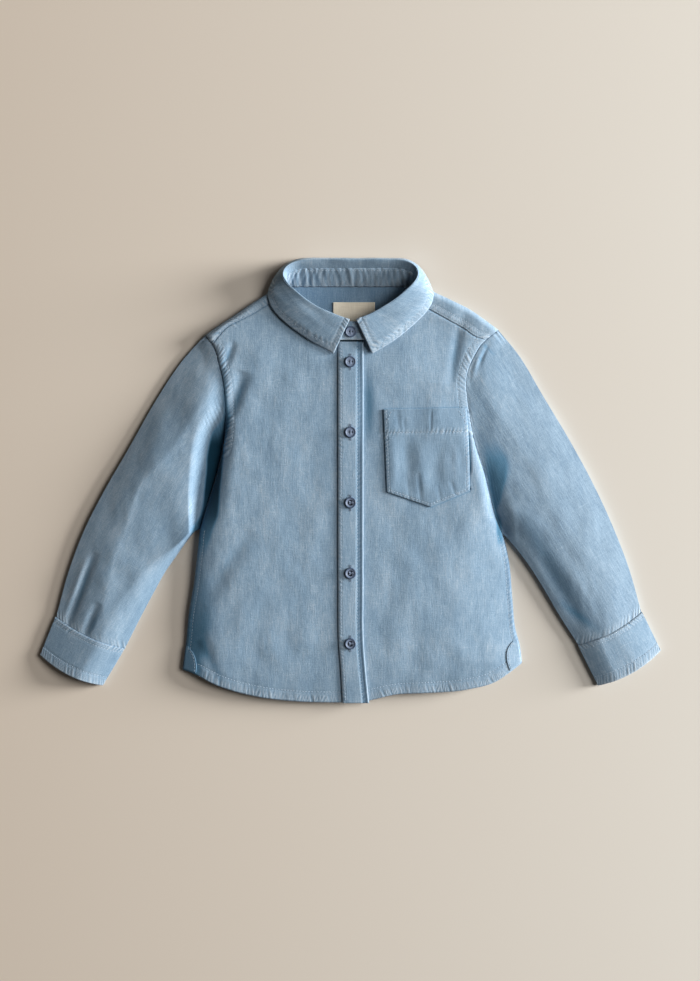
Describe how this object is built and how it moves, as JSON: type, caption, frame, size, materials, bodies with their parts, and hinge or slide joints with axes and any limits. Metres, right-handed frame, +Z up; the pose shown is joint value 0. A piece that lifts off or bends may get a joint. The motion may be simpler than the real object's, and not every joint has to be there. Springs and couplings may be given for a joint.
{
  "type": "child's chambray shirt, laid flat",
  "caption": "Small child's long-sleeved button-front shirt with a pointed collar, patch pocket and curved hem, buttoned up and laid flat on its back.",
  "frame": {"origin": "centre of the shirt's outline in plan, on the surface it lies on", "axes": "+X towards the wearer's left sleeve, +Y from the hem to the collar, +Z up out of the fronts"},
  "size_m": [0.619, 0.4441, 0.0255],
  "materials": {
    "chambray": "soft, matt, slubby plain weave",
    "label": "satin-woven tape, plain",
    "button": "smooth, slightly pearly"
  },
  "bodies": {
    "root": {"back": "chambray", "yoke": "chambray", "front_right": "chambray", "front_left": "chambray", "placket": "chambray", "pocket": "chambray", "sleeve_right": "chambray", "sleeve_left": "chambray", "cuff_right": "chambray", "cuff_left": "chambray", "collar_stand": "chambray", "collar_fall": "chambray", "gusset_right": "chambray", "gusset_left": "chambray", "neck_label": "label", "button_neck": "button", "button_1": "button", "button_2": "button", "button_3": "button", "button_4": "button", "button_5": "button"}
  },
  "joints": []
}
